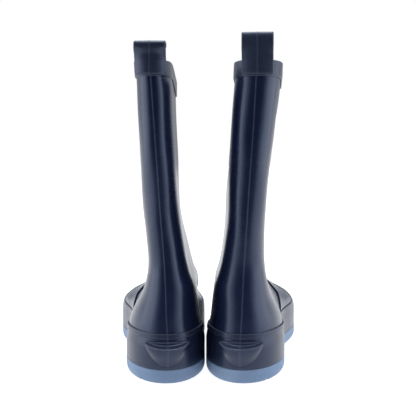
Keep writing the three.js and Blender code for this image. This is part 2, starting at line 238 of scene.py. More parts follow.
# %% [markdown]
# Soft rubber never stands quite true: the empty leg sags into long shallow hollows. They are
# added as a small slow wave along the normal, the same for all layers, so the layers stay
# bonded. The back and the front also carry the thin raised line where the mould halves meet.

# %% Hollows and the mould line
def slow_wave(boot, turn, height):
    """Long shallow hollows in the leg, in millimetres."""
    phase = 0.0 if boot["side"] < 0 else 2.1
    share = ease(70, 130, height) * (1 - ease(300, 322, height))
    wave = (0.42 * np.sin(2 * turn + height / 34 + phase)
            + 0.26 * np.sin(3 * turn - height / 21 + 1.7 * phase)
            + 0.16 * np.sin(5 * turn + height / 13 + 0.6 + phase))
    return share * wave


MOULD_LINE = 0.34


def mould_line(boot, turn, height, tall=MOULD_LINE, wide=0.55):
    """A fine raised line down the middle of the back and of the front, in millimetres."""
    half = outline(boot, turn, height)[1]
    return tall * np.exp(-(half / wide) ** 2)


def place(boot, turn, height, offset):
    turn, height = np.broadcast_arrays(np.asarray(turn, float), np.asarray(height, float))
    offset = np.broadcast_to(offset, height.shape) + slow_wave(boot, turn, height)
    return skin(boot, turn, height) + skin_normal(boot, turn, height) * offset[..., None]


def share_of(turn):
    """How far a turn has come from the back, 0, to the front, 1."""
    return (1 - np.cos(turn)) / 2


def galosh_edge(turn):
    """Height of the foot part's top edge."""
    s = share_of(turn)
    low = mix(HEEL_EDGE, WAIST_EDGE, ease(0.1, 0.4, s))
    return mix(low, INSTEP_EDGE, ease(0.64, 1, s))


def strip_edge(turn):
    return galosh_edge(turn) - STRIP_HEIGHT * mix(1, 0.7, share_of(turn) ** 3)


ROLLED_EDGE, ROLL_FROM, ROLL_TO = 0.8, 17, 5


def foot_outer(turn, height):
    """Outer offset of the foot part, which is rolled thin towards its top edge."""
    return mix(OVER_HANG, ROLLED_EDGE, ease(ROLL_FROM, ROLL_TO, galosh_edge(turn) - height))


def rim_of(boot):
    return lambda turn: RIM_HEIGHT - boot["rim_drop"] * ease(
        boot["drop_from"], boot["drop_from"] + 0.5, share_of(turn))


print("collar at the front, left boot:", float(rim_of(BOOTS[0])(np.pi)), "mm")

# %% [markdown]
# ## Where the pair stands
#
# The model has its box centred on the origin. The corner of the left sole gives the step
# from the drawing's origin to the model's, so nothing here is placed by eye.

# %% From the drawing to the model
def sole_outline(boot, turns, offset):
    """The level outline of the foot just above the sole, moved out by an offset."""
    height = SOLE_HEIGHT + 2
    normal = skin_normal(boot, turns, height)
    normal[..., 2] = 0
    normal /= np.linalg.norm(normal, axis=-1, keepdims=True)
    return (skin(boot, turns, height) + normal * np.asarray(offset)[..., None])[..., :2]


drawn = sole_outline(BOOTS[0], np.arange(44) * 2 * np.pi / 44, OVER_HANG).min(axis=0)
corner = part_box("left_outsole")[0]
SHIFT = np.array([corner.x / METRES - drawn[0], corner.y / METRES - drawn[1], 0.0])
print("shift in mm:", SHIFT.round(2))

# %% [markdown]
# ## Turning points into meshes
#
# A slab is a front sheet and a back sheet of the same grid, closed round its edges. The
# signed volume says which way its faces look, so every piece ends with its normals outward.
# A point attribute marks edges and mould lines, where rubber goes dull and pale, and on the
# heel spur it also carries a painted highlight along the lip.

# %% Mesh builders
def signed_volume(points, quads):
    a, b, c, d = (points[quads[:, i]] for i in range(4))
    return (np.einsum("ij,ij->i", a, np.cross(b, c)).sum()
            + np.einsum("ij,ij->i", a, np.cross(c, d)).sum()) / 6


def mesh_piece(name, points, quads, wear_and_highlight=None, uv=None, merge=0.0):
    """A smooth-shaded object from points in drawing millimetres and four-cornered faces."""
    if signed_volume(points, quads) < 0:
        quads = quads[:, ::-1]
    mesh = bpy.data.meshes.new(name)
    mesh.from_pydata(((points + SHIFT) * METRES).tolist(), [], quads.tolist())
    if wear_and_highlight is not None:
        layer = mesh.attributes.new("wear_and_highlight", "FLOAT", "POINT")
        layer.data.foreach_set("value", np.asarray(wear_and_highlight, np.float32).ravel())
    if uv is not None:
        layer = mesh.uv_layers.new(name="UVMap")
        corners = np.empty(len(mesh.loops), np.int32)
        mesh.loops.foreach_get("vertex_index", corners)
        layer.data.foreach_set("uv", np.asarray(uv, np.float32)[corners].ravel())
    if merge:
        work = bmesh.new()
        work.from_mesh(mesh)
        bmesh.ops.remove_doubles(work, verts=work.verts, dist=merge)
        bmesh.ops.dissolve_degenerate(work, edges=work.edges, dist=merge / 4)
        work.to_mesh(mesh)
        work.free()
    mesh.shade_smooth()
    obj = bpy.data.objects.new(name, mesh)
    bpy.context.scene.collection.objects.link(obj)
    return obj


def sheet_quads(rows, columns, wraps_rows=False, wraps_columns=False, start=0):
    r = np.arange(rows if wraps_rows else rows - 1)[:, None]
    c = np.arange(columns if wraps_columns else columns - 1)[None, :]
    r2, c2 = (r + 1) % rows, (c + 1) % columns
    quads = [r * columns + c, r * columns + c2, r2 * columns + c2, r2 * columns + c]
    return start + np.stack(quads, axis=-1).reshape(-1, 4)


def slab(name, front, back, wraps, wear_and_highlight, uv=None, merge=0.0):
    """A closed slab between two sheets of points shaped (rows, columns, 3)."""
    rows, columns = front.shape[:2]
    size = rows * columns
    faces = [sheet_quads(rows, columns, False, wraps),
             sheet_quads(rows, columns, False, wraps, size)[:, ::-1]]

    def strip_between(edge):
        near, far = edge[:-1], edge[1:]
        return np.stack([near, near + size, far + size, far], axis=-1)

    ids = np.arange(size).reshape(rows, columns)
    close = (lambda edge: np.append(edge, edge[0])) if wraps else (lambda edge: edge)
    faces.append(strip_between(close(ids[0])))
    faces.append(strip_between(close(ids[-1]))[:, ::-1])
    if not wraps:
        faces.append(strip_between(ids[:, 0])[:, ::-1])
        faces.append(strip_between(ids[:, -1]))
    points = np.concatenate([front.reshape(-1, 3), back.reshape(-1, 3)])
    both = np.concatenate([np.ravel(wear_and_highlight), np.ravel(wear_and_highlight)])
    if uv is not None:
        uv = np.concatenate([uv.reshape(-1, 2), uv.reshape(-1, 2)])
    return mesh_piece(name, points, np.concatenate(faces), both, uv, merge)


# %% [markdown]
# A sheet of rubber has a soft edge where it was rolled down, so a layer gets a few close rows
# at its top and bottom, which fall back along a quarter round. Its columns are closer at the
# back and the front, where the mould line is less than a millimetre wide.

# %% Rows and columns of a layer
def fine_turns(extra=()):
    """Even steps round the boot, with fine ones at the mould lines."""
    even = np.arange(144) * 2 * np.pi / 144
    fine = np.array([0.006, 0.012, 0.018, 0.025, 0.034])
    near = np.concatenate([s + sign * fine for s in (0, np.pi) for sign in (-1, 1)])
    near = near % (2 * np.pi)
    kept = [t for t in even if min(abs(t - n) for n in (0, np.pi, 2 * np.pi)) > 0.04
            or t in (0.0, np.pi)]
    return np.unique(np.round(np.concatenate([kept, near, [0.0, np.pi], extra]), 6))


def layer(name, boot, low, high, inner, outer, turns=None, rows=40, edge=0.5, wraps=True,
          inner_edge=0.0, line=MOULD_LINE):
    """A slab of rubber between two heights, with rounded top and bottom edges outside.
    The offsets `inner` and `outer` are both numbers, or both follow turn and height."""
    turns = fine_turns() if turns is None else turns
    low_z, high_z = low(turns), high(turns)
    arc = np.linspace(0, np.pi / 2, 6)
    rise, drop = edge * (1 - np.cos(arc)), edge * (1 - np.sin(arc))
    body = np.linspace(0, 1, rows)[1:-1]
    foot = low_z[None, :] + rise[:, None]
    head = high_z[None, :] - rise[::-1, None]
    between = mix(foot[-1][None, :], head[0][None, :], body[:, None])
    heights = np.concatenate([foot, between, head])
    drops = np.concatenate([drop, np.zeros(rows - 2), drop[::-1]])[:, None]
    grid = np.broadcast_to(turns[None, :], heights.shape)
    ridge = mould_line(boot, grid, heights, line)
    if callable(outer):
        inner, outer = inner(grid, heights), outer(grid, heights)
    front = place(boot, grid, heights, outer - drops + ridge)
    back = place(boot, grid, heights, inner + drops * inner_edge)
    near_edge = np.minimum(heights - low_z, high_z - heights)
    wear_and_highlight = np.maximum(np.exp(-near_edge / 0.9), 0.8 * ridge / MOULD_LINE)
    arc_length = np.linalg.norm(np.diff(front, axis=1, append=front[:, :1]), axis=-1)
    around = np.concatenate([np.zeros((len(heights), 1)),
                             np.cumsum(arc_length, axis=1)[:, :-1]], axis=1)
    uv = np.stack([around, heights], axis=-1) * METRES
    return slab(name, front, back, wraps, wear_and_highlight, uv)


# %% [markdown]
# ## Shader values as plain sums
#
# A procedural finish is a small sum: so much noise, times a mask, plus a base. `Value` wraps
# a shader socket, so that such a sum is written as one, and adds the Math nodes for it.

# %% Shader helpers
class Value:
    """A number that varies over a surface. Arithmetic on it adds Math nodes."""

    def __init__(self, shader, socket):
        self.shader, self.socket = shader, socket

    def math(self, operation, *others):
        return self.shader.node("ShaderNodeMath", dict(operation=operation), [self, *others])

    def __add__(self, other): return self.math("ADD", other)
    def __radd__(self, other): return self.math("ADD", other)
    def __mul__(self, other): return self.math("MULTIPLY", other)
    def __rmul__(self, other): return self.math("MULTIPLY", other)
    def __sub__(self, other): return self.math("SUBTRACT", other)
    def __truediv__(self, other): return self.math("DIVIDE", other)
    def __pow__(self, other): return self.math("POWER", other)

    def __rsub__(self, other):
        return self.shader.node("ShaderNodeMath", dict(operation="SUBTRACT"), [other, self])

    def between(self, low, high):
        """0 below `low`, 1 above `high`, and smooth between them."""
        return self.shader.node("ShaderNodeMapRange", dict(interpolation_type="SMOOTHSTEP"),
                                {"Value": self, "From Min": low, "From Max": high})


class Shader:
    """A material whose nodes are added by one method."""

    def __init__(self, name):
        self.material = bpy.data.materials.new(name)
        self.material.use_nodes = True
        self.tree = self.material.node_tree
        self.tree.nodes.clear()

    def node(self, kind, settings=None, inputs=None, output=0):
        made = self.tree.nodes.new(kind)
        for key, value in (settings or {}).items():
            setattr(made, key, value)
        pairs = inputs.items() if isinstance(inputs, dict) else enumerate(inputs or [])
        for key, value in pairs:
            if isinstance(value, Value):
                self.tree.links.new(value.socket, made.inputs[key])
            else:
                made.inputs[key].default_value = value
        return Value(self, made.outputs[output])

    def noise(self, place, scale, detail=3.0, roughness=0.55):
        return self.node("ShaderNodeTexNoise", {}, {"Vector": place, "Scale": scale,
                         "Detail": detail, "Roughness": roughness}, "Fac")

    def blend(self, factor, first, second):
        """The mix of two colours: Mix's colour sockets are its sixth and seventh."""
        return self.node("ShaderNodeMix", dict(data_type="RGBA"), {0: factor, 6: first,
                         7: second}, 2)

    def bump(self, height, distance, strength=1.0, under=None):
        inputs = {"Height": height, "Distance": distance, "Strength": strength}
        if under is not None:
            inputs["Normal"] = under
        return self.node("ShaderNodeBump", {}, inputs)

    def finish(self, colour, roughness, normal, **fixed):
        inputs = {"Base Color": colour, "Roughness": roughness, "Normal": normal}
        inputs.update({key.replace("_", " "): value for key, value in fixed.items()})
        body = self.node("ShaderNodeBsdfPrincipled", {}, inputs)
        out = self.tree.nodes.new("ShaderNodeOutputMaterial")
        self.tree.links.new(body.socket, out.inputs["Surface"])
        return self.material


def srgb(red, green, blue):
    """A colour as it is read off a paint chart, 0 to 255, turned into light."""
    part = np.array([red, green, blue]) / 255
    light = np.where(part <= 0.04045, part / 12.92, ((part + 0.055) / 1.055) ** 2.4)
    return (*light.tolist(), 1.0)


# %% [markdown]
# ## Navy rubber
#
# Dipped rubber is lacquered, so it has a broad satin shine over a deep blue body. The shine
# is broken by a very fine grain and by slow changes where the lacquer lay thicker. Edges and
# mould lines are rubbed pale, and the heel spur's lip gets a painted highlight in the same
# pale colour. Smooth leg and trim share the recipe with other numbers, and the strap's copy
# is made paler as painted light for the light on its flat face.

# %% Navy rubber recipe
def navy_rubber(name, deep, pale, rough, grain=0.00003, wear_and_highlight_amount=0.14):
    s = Shader(name)
    place_on_boot = s.node("ShaderNodeTexCoord", {}, {}, "Object")
    wear_and_highlight = s.node("ShaderNodeAttribute", dict(attribute_name="wear_and_highlight"), {}, "Fac")
    slow = s.noise(place_on_boot, 9.0, 3.0)
    blotch = s.noise(place_on_boot, 60.0, 4.0)
    speck = s.noise(place_on_boot, 900.0, 2.0)
    fine = s.noise(place_on_boot, 2600.0, 2.0)
    lift = (slow - 0.5) * 0.8 + (blotch - 0.5) * 0.5 + 0.35
    body = s.blend(lift.math("MAXIMUM", 0.0), deep, pale)
    # Pale for rubbed edges, mould lines and dust specks, and a painted highlight along the spur's
    # lip.
    pale_wear_and_highlight = wear_and_highlight * (0.5 + blotch * 0.8) * wear_and_highlight_amount + speck.between(0.68, 0.8) * 0.10
    colour = s.blend(pale_wear_and_highlight.math("MINIMUM", 1.0), body, srgb(116, 124, 142))
    roughness = rough + (slow - 0.5) * 0.16 + (blotch - 0.5) * 0.10 + wear_and_highlight * 0.12
    soft = s.bump(blotch + slow * 2.0, 0.0006, 0.35)
    normal = s.bump(fine + speck * 0.6, grain, 1.0, soft)
    return s.finish(colour, roughness, normal, IOR=1.58, Specular_Tint=(0.56, 0.69, 1.0, 1.0),
                    Coat_Weight=0.07, Coat_Roughness=0.2, Coat_IOR=1.5)


leg_finish = navy_rubber("navy_rubber_leg", srgb(15, 22, 46), srgb(25, 33, 61), 0.26)
foot_finish = navy_rubber("navy_rubber_foot", srgb(17, 23, 42), srgb(28, 35, 57), 0.31)
trim_finish = navy_rubber("navy_rubber_trim", srgb(18, 24, 43), srgb(29, 36, 58), 0.31)
# The strap's copy is paler than the rest: painted light for the light on its flat face, over the
# same navy rubber.
strap_lit_finish = navy_rubber("navy_rubber_strap_lit", srgb(32, 38, 55), srgb(44, 51, 70), 0.36,
                           0.00005)
print("navy finishes:", 4)

# %% [markdown]
# ## Pale sole, sock and board
#
# The sole is unlacquered rubber: matt, with a fine salt-and-pepper speckle, and darker towards
# the ground along its lower edge. The sock is a jersey knit. Its stitches are too small to
# model, so they are two crossed waves in the bump, laid out by the sock's own unrolled map.

# %% Sole rubber
def sole_rubber(name):
    s = Shader(name)
    place_on_boot = s.node("ShaderNodeTexCoord", {}, {}, "Object")
    wear_and_highlight = s.node("ShaderNodeAttribute", dict(attribute_name="wear_and_highlight"), {}, "Fac")
    slow = s.noise(place_on_boot, 14.0, 3.0)
    speck = s.noise(place_on_boot, 1500.0, 2.0, 0.7)
    fine = s.noise(place_on_boot, 3800.0, 2.0)
    body = s.blend(slow.between(0.35, 0.7), srgb(104, 128, 161), srgb(120, 144, 175))
    speckled = s.blend(speck.between(0.56, 0.72) * 0.3, body, srgb(158, 178, 210))
    # Dark pepper specks, and darker towards the ground along the lower edge.
    peppered_and_darker_low = s.blend(speck.between(0.5, 0.36) * 0.22 + wear_and_highlight * 0.18, speckled, srgb(70, 86, 120))
    normal = s.bump(fine + speck, 0.00004)
    return s.finish(peppered_and_darker_low, 0.62 + (slow - 0.5) * 0.12 + wear_and_highlight * 0.1, normal, IOR=1.5)


sole_finish = sole_rubber("pale_sole_rubber")


# %% [markdown]
# The knit, the foam and the board are all dry and rough, so they need no shine. What tells
# them apart is the size of their grain: ribs for the knit, and flecks for the cut sheets.

# %% Knitted sock, foam and board
def knit_cloth(name, deep, pale):
    s = Shader(name)
    unrolled = s.node("ShaderNodeUVMap", dict(uv_map="UVMap"), {})
    parts = [s.node("ShaderNodeSeparateXYZ", {}, {"Vector": unrolled}, axis)
             for axis in ("X", "Y")]
    wale = (parts[0] * 3600.0).math("SINE")
    course = (parts[1] * 5000.0 + wale * 0.8).math("SINE")
    fuzz = s.noise(s.node("ShaderNodeTexCoord", {}, {}, "Object"), 700.0, 3.0)
    stitch = wale * 0.5 + course * 0.5 + fuzz * 0.7
    colour = s.blend(stitch.between(-0.7, 1.3), deep, pale)
    return s.finish(colour, 0.92 - fuzz * 0.06, s.bump(stitch, 0.00012), Sheen_Weight=0.25,
                    Sheen_Roughness=0.5)


def cut_board(name, deep, pale, scale, rough):
    s = Shader(name)
    place_on_boot = s.node("ShaderNodeTexCoord", {}, {}, "Object")
    flecks = s.noise(place_on_boot, scale, 4.0, 0.65)
    slow = s.noise(place_on_boot, scale / 12, 2.0)
    colour = s.blend(flecks.between(0.35, 0.68), deep, pale)
    return s.finish(colour, rough + (slow - 0.5) * 0.1, s.bump(flecks, 0.00015))


sock_finish = knit_cloth("knit_sock", srgb(34, 38, 50), srgb(66, 72, 88))
footbed_finish = knit_cloth("footbed_cloth", srgb(44, 49, 62), srgb(80, 86, 100))
foam_finish = cut_board("sole_foam", srgb(64, 69, 84), srgb(92, 98, 114), 900.0, 0.9)
board_finish = cut_board("pressed_board", srgb(112, 106, 92), srgb(158, 150, 132), 500.0, 0.85)
print("materials:", len(bpy.data.materials))

# %% [markdown]
# ## Leg, foot part, trim strip and collar band
#
# These are the layers that the rubber is laid up in. Each has soft cut edges, because a
# rubber sheet is rolled down at its edge before it is cured.

# %% The laid-up layers
STRIP_BED = 0.1
LAP = 9


def dress(obj, boot, finish, nodes):
    """Gives a piece its finish, and lets it stand for its nodes of the model."""
    obj.data.materials.clear()
    obj.data.materials.append(finish)
    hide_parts(*[boot["name"] + "_" + node for node in nodes])


def body_of(boot):
    return boot["name"] + "_boot"


for boot in BOOTS:
    side = boot["name"]
    rim = rim_of(boot)
    foot_bottom = SOLE_HEIGHT + FIT_GAP
    leg = layer(side + "_leg", boot, lambda t: galosh_edge(t) - LAP, rim, -LEG_THICKNESS, 0,
                rows=110, edge=1.0, inner_edge=1.0)
    dress(leg, boot, leg_finish, ["leg_shell"])
    foot = layer(side + "_foot", boot, lambda t: foot_bottom + 0 * t, galosh_edge,
                 lambda t, h: FIT_GAP + 0 * h, foot_outer, rows=70, edge=0.3)
    dress(foot, boot, foot_finish, ["foot_shell"])
    strip = layer(side + "_trim", boot, strip_edge, galosh_edge,
                  lambda t, h: foot_outer(t, h) + STRIP_BED,
                  lambda t, h: foot_outer(t, h) + STRIP_BED + STRIP_THICKNESS, rows=16,
                  edge=0.7)
    dress(strip, boot, trim_finish, ["trim_strip"])
    band = layer(side + "_band", boot, lambda t: rim(t) - BAND_HEIGHT, rim, FIT_GAP,
                 FIT_GAP + BAND_THICKNESS, rows=20, edge=0.75)
    dress(band, boot, trim_finish, ["top_band"])
    for piece in (leg, foot, strip, band):
        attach(piece, body_of(boot))
    print(side, "layers:", [len(p.data.polygons) for p in (leg, foot, strip, band)], "faces")

# %% [markdown]
# ## The panel over the instep
#
# Over the instep a leaf of rubber is bonded above the strip. It runs out to a point on both
# sides, so its height falls to nothing there and its ends close to a line.

# %% The instep panel
PANEL_TIP = PANEL_GAP + 0.5


def panel_top(turn):
    s = share_of(turn)
    leaf = mix(PANEL_HEIGHT * 0.3, PANEL_HEIGHT, ease(0.42, 0.72, s))
    return galosh_edge(turn) + PANEL_TIP + (leaf - PANEL_TIP) * ease(0.44, 0.54, s) ** 0.6


for boot in BOOTS:
    turns = fine_turns()
    turns = turns[share_of(turns) > 0.455]
    panel = layer(boot["name"] + "_instep", boot, lambda t: galosh_edge(t) + PANEL_GAP, panel_top,
                  2 * FIT_GAP, 2 * FIT_GAP + PANEL_THICKNESS, turns=turns, rows=16, edge=0.19,
                  wraps=False)
    dress(panel, boot, leg_finish, ["instep_panel"])
    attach(panel, body_of(boot))

# %% [markdown]
# ## The spur on the heel
#
# It is a shelf to push the boot off with: a half oval shield whose lip stands out, with a
# dished ledge above the lip. One grid is raised over the heel, high at the lip and flat at
# the shield's border. It is a little narrower than the model's block, whose ends are blunt.

# %% The heel lug
LUG_WIDTH, LUG_FOOT, LUG_HEAD, LUG_REACH, LUG_LIP = 41.5, 17.5, 43, 7, 0.72
LUG_BORDER = 0.9


def lug_reach(boot):
    turns = np.linspace(0, 1.2, 1200)
    gap = np.linalg.norm(skin(boot, turns, LUG_HEAD) - skin(boot, -turns, LUG_HEAD), axis=-1)
    return turns[np.argmax(gap >= LUG_WIDTH)]


def lug_stand(a, b):
    """How far the lug stands out of the heel, at a place across and up its shield."""
    shield = ease(0, LUG_LIP, b) ** 0.8
    ledge = 1 - 0.97 * ease(LUG_LIP, LUG_LIP + 0.17, b)
    across = np.sqrt(np.maximum(0, 1 - 0.985 * a * a))
    border = np.minimum(ease(0, 0.07, b), ease(0, 0.06, 1 - np.abs(a)))
    border = np.minimum(border, ease(0, 0.05, 1 - b))
    return LUG_BORDER * border + LUG_REACH * np.minimum(shield, ledge) * across


for boot in BOOTS:
    across = np.sin(np.linspace(-np.pi / 2, np.pi / 2, 61))
    up = np.unique(np.concatenate([np.linspace(0, 1, 40), LUG_LIP + np.linspace(-0.06, 0.2, 24)]))
    a, b = np.meshgrid(across, up)
    foot_line = mix(LUG_FOOT, LUG_HEAD - 6, np.abs(a) ** 2.2)
    heights = mix(foot_line, LUG_HEAD, b)
    turns = a * lug_reach(boot)
    base = foot_outer(turns, heights) + STRIP_BED
    ridge = mould_line(boot, turns, heights, 0.3)
    front = place(boot, turns, heights, base + 0.04 + lug_stand(a, b) + ridge)
    back = place(boot, turns, heights, base + 0 * a)
    # Painted highlight: a narrow pale line along the lip. The mould line is rubbed pale as
    # elsewhere.
    lip_highlight = np.exp(-((b - LUG_LIP) / 0.035) ** 2) * (1 - np.abs(a) ** 6)
    lug = slab(boot["name"] + "_lug", front, back, False, np.maximum(lip_highlight * 0.9, ridge / MOULD_LINE))
    dress(lug, boot, trim_finish, ["heel_lug"])
    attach(lug, body_of(boot))
    print(boot["name"], "lug turns:", round(float(lug_reach(boot)), 3))

# %% [markdown]
# ## The sock and the footbed
#
# Inside, the knitted sock follows the rubber up to the collar, and the footbed lies on the
# board. Both are seen from above.

# %% Sock and footbed
LINING_OUTER = -LEG_THICKNESS - FIT_GAP
LINING_INNER = LINING_OUTER - LINING_THICKNESS
BOARD_HEIGHT = 2
FOOTBED_BOTTOM = SOLE_HEIGHT + FIT_GAP + BOARD_HEIGHT + FIT_GAP

for boot in BOOTS:
    side = boot["name"]
    rim = rim_of(boot)
    sock = layer(side + "_sock", boot, lambda t: FOOTBED_BOTTOM + 0 * t,
                 lambda t: rim(t) - 0.5, LINING_INNER, LINING_OUTER, rows=90, edge=0.3,
                 line=0.0)
    dress(sock, boot, sock_finish, ["lining_sock"])
    turns = fine_turns()
    rings = [(0.6, 0.0), (0.1, 0.5), (0.0, 1.2), (0.0, 2.9), (0.15, 3.5), (0.6, 3.85)]
    inner = [sole_outline(boot, turns, np.full(len(turns), LINING_INNER - 0.6 - inset))
             for inset, _ in rings]
    heel_to_toe = np.concatenate([[r[1]] * len(turns) for r in rings]).reshape(len(rings), -1)
    loops = np.stack([np.concatenate([xy, (FOOTBED_BOTTOM + z)[:, None]], axis=1)
                      for xy, z in zip(inner, heel_to_toe)])
    spine = loops[-1].copy()
    mirrored = np.interp((-turns) % (2 * np.pi), turns, np.arange(len(turns)))
    partner = spine[np.rint(mirrored).astype(int)]
    fills = [mix(spine, (spine + partner) / 2, f) + np.array([0, 0, 0.15 * np.sin(f * 1.57)])
             for f in (0.15, 0.4, 0.7, 1.0)]
    floor = loops[0].copy()
    floor_mid = (floor + floor[np.rint(mirrored).astype(int)]) / 2
    stack = np.concatenate([floor_mid[None], loops, np.stack(fills)])
    uv = stack[..., :2].reshape(-1, 2) * METRES
    footbed = mesh_piece(side + "_footbed", stack.reshape(-1, 3),
                         sheet_quads(len(stack), len(turns), False, True),
                         np.zeros(stack.shape[:2]), uv, merge=0.00001)
    dress(footbed, boot, footbed_finish, ["footbed"])
    for piece in (sock, footbed):
        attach(piece, body_of(boot))
    for node, finish in (("midsole", foam_finish), ("insole_board", board_finish)):
        cad = frame["nodes"][side + "_" + node]
        cad.data.materials.clear()
        cad.data.materials.append(finish)

# %% [markdown]
# ## Hem stitches
#
# The sock's top edge is turned and sewn to itself before the boot is dipped, in a slanting
# row of short stitches. One stitch repeated along the hem is a job for Geometry Nodes: the
# hem is a curve, resampled to a count, and each point gets a plump thread leaning first one
# way and then the other. The row stops at the pull strap, which covers the hem at the back.

# %% The stitch tree
def stitch_tree():
    tree = bpy.data.node_groups.new("hem_stitches", "GeometryNodeTree")
    sizes = [("Stitch Count", "NodeSocketInt"), ("Stitch Length", "NodeSocketFloat"),
             ("Thread Radius", "NodeSocketFloat"), ("Lean", "NodeSocketFloat"),
             ("Thread", "NodeSocketMaterial")]
    for name, kind in [("Hem", "NodeSocketGeometry")] + sizes:
        tree.interface.new_socket(name=name, in_out="INPUT", socket_type=kind)
    tree.interface.new_socket(name="Stitches", in_out="OUTPUT", socket_type="NodeSocketGeometry")

    def node(kind, inputs, **settings):
        made = tree.nodes.new(kind)
        for key, value in settings.items():
            setattr(made, key, value)
        for key, value in inputs.items():
            if isinstance(value, bpy.types.NodeSocket):
                tree.links.new(value, made.inputs[key])
            else:
                made.inputs[key].default_value = value
        return made.outputs[0] if made.outputs else None

    given = tree.nodes.new("NodeGroupInput").outputs
    spots = node("GeometryNodeResampleCurve", {"Curve": given["Hem"],
                 "Count": given["Stitch Count"]}, mode="COUNT")
    bead = node("GeometryNodeMeshUVSphere", {"Segments": 8, "Rings": 6, "Radius": 1.0})
    half = node("ShaderNodeMath", {0: given["Stitch Length"], 1: 0.5}, operation="MULTIPLY")
    size = node("ShaderNodeCombineXYZ", {"X": given["Thread Radius"],
                "Y": given["Thread Radius"], "Z": half})
    along = node("FunctionNodeAlignRotationToVector",
                 {"Vector": node("GeometryNodeInputTangent", {})}, axis="X", pivot_axis="Z")
    parity = node("ShaderNodeMath", {0: node("GeometryNodeInputIndex", {}), 1: 2.0},
                  operation="MODULO")
    way = node("ShaderNodeMath", {0: parity, 1: 2.0, 2: -1.0}, operation="MULTIPLY_ADD")
    tilt = node("ShaderNodeMath", {0: way, 1: given["Lean"]}, operation="MULTIPLY")
    euler = node("ShaderNodeCombineXYZ", {"X": 0.0, "Y": tilt, "Z": 0.0})
    turned = node("FunctionNodeRotateRotation", {"Rotation": along,
                  "Rotate By": node("FunctionNodeEulerToRotation", {"Euler": euler})},
                  rotation_space="LOCAL")
    row = node("GeometryNodeInstanceOnPoints", {"Points": spots, "Instance": bead,
               "Rotation": turned, "Scale": size})
    solid = node("GeometryNodeRealizeInstances", {"Geometry": row})
    dyed = node("GeometryNodeSetMaterial", {"Geometry": solid, "Material": given["Thread"]})
    node("NodeGroupOutput", {"Stitches": dyed})
    return tree


# %% [markdown]
# The hem's curve lies on the inside of the sock, a little below its edge. The count comes
# from its length and the stitch pitch, so both boots are sewn alike. The sewn row is turned
# into a plain mesh, because it has to ride on its boot like any other piece.

# %% The hem rows
STITCH_PITCH, STITCH_LENGTH, THREAD_RADIUS, STITCH_LEAN = 3.2, 4.4, 0.42, 0.42
HEM_DROP = 6
thread_finish = cut_board("hem_thread", srgb(92, 98, 116), srgb(136, 142, 158), 1400.0, 0.8)
tree = stitch_tree()
socket_of = {item.name: item.identifier for item in tree.interface.items_tree}


def hem_row(boot):
    """The stitches of one sock, as a plain mesh."""
    rim = rim_of(boot)
    turns = np.linspace(0, np.pi, 400)
    half = np.linalg.norm(skin(boot, turns, RIM_HEIGHT) - skin(boot, 0.0, RIM_HEIGHT), axis=-1)
    start = turns[np.argmax(half > STRAP_WIDTH / 2 + 3)]
    turns = np.linspace(start, 2 * np.pi - start, 240)
    path = (place(boot, turns, rim(turns) - HEM_DROP, LINING_INNER) + SHIFT) * METRES
    length = np.linalg.norm(np.diff(path, axis=0), axis=1).sum()
    curve = bpy.data.curves.new("hem", "CURVE")
    curve.dimensions = "3D"
    spline = curve.splines.new("POLY")
    spline.points.add(len(path) - 1)
    for point, spot in zip(spline.points, path):
        point.co = (*spot, 1)
    hem = bpy.data.objects.new("hem", curve)
    bpy.context.scene.collection.objects.link(hem)
    sewing = hem.modifiers.new("stitches", "NODES")
    sewing.node_group = tree
    for name, value in (("Stitch Count", round(length / METRES / STITCH_PITCH)),
                        ("Stitch Length", STITCH_LENGTH * METRES),
                        ("Thread Radius", THREAD_RADIUS * METRES),
                        ("Lean", STITCH_LEAN), ("Thread", thread_finish)):
        sewing[socket_of[name]] = value
    sewn = hem.evaluated_get(bpy.context.evaluated_depsgraph_get())
    mesh = bpy.data.meshes.new_from_object(sewn)
    bpy.data.objects.remove(hem)
    row = bpy.data.objects.new(boot["name"] + "_hem_stitches", mesh)
    bpy.context.scene.collection.objects.link(row)
    mesh.shade_smooth()
    print(row.name, "on a hem of", round(length / METRES), "mm,", len(mesh.polygons), "faces")
    return row


for boot in BOOTS:
    stitches = hem_row(boot)
    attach(stitches, body_of(boot))

# %% [markdown]
# ## The sole
#
# The sole is a tray with a rounded foot edge. Grooves run across it, so it is built of
# stations from heel to toe, each one a closed loop: across the ground, up the wall, over the
# lip and across the floor of the tray. A groove is then only two pairs of stations.

# %% Stations of the sole
GROOVE_DEPTH, GROOVE_WIDTH, SHANK_RISE, SHANK_LENGTH = 2.2, 3.0, 3.0, 34.0
SOLE_FLOOR, SOLE_WALL = 6.0, 5.0
grooves = [18 + 15 * i for i in range(4)] + [140 + 15 * i for i in range(9)]
shank = 0.35 * BOOT_LENGTH


def turn_at(along):
    """The turn that has this place along the foot, just above the sole."""
    back, front = back_line(SOLE_HEIGHT + 2), front_line(SOLE_HEIGHT + 2)
    return np.arccos(np.clip(1 - 2 * (along - back) / (front - back), -1, 1))


def tread_rise(along):
    rise = np.zeros_like(along)
    for middle in grooves:
        rise = np.maximum(rise, GROOVE_DEPTH * (1 - ease(GROOVE_WIDTH / 2 - 0.25,
                                                         GROOVE_WIDTH / 2 + 0.25,
                                                         np.abs(along - middle))))
    arch = SHANK_RISE * (1 - ease(SHANK_LENGTH / 2 - 2, SHANK_LENGTH / 2 + 2,
                                  np.abs(along - shank)))
    return np.maximum(rise, arch)


def sole_turns():
    steps = [np.linspace(0, np.pi, 120)]
    for middle in grooves:
        for sign in (-1, 1):
            steps.append(turn_at(middle + sign * (GROOVE_WIDTH / 2
                                                  + np.array([-0.25, -0.12, 0, 0.12, 0.25]))))
    return np.unique(np.round(np.concatenate(steps), 5))


wall_profile = line_through([(0, OVER_HANG - 3.4), (1.2, OVER_HANG - 1.9),
                             (3.2, OVER_HANG - 0.7), (7, OVER_HANG), (14.5, OVER_HANG)])

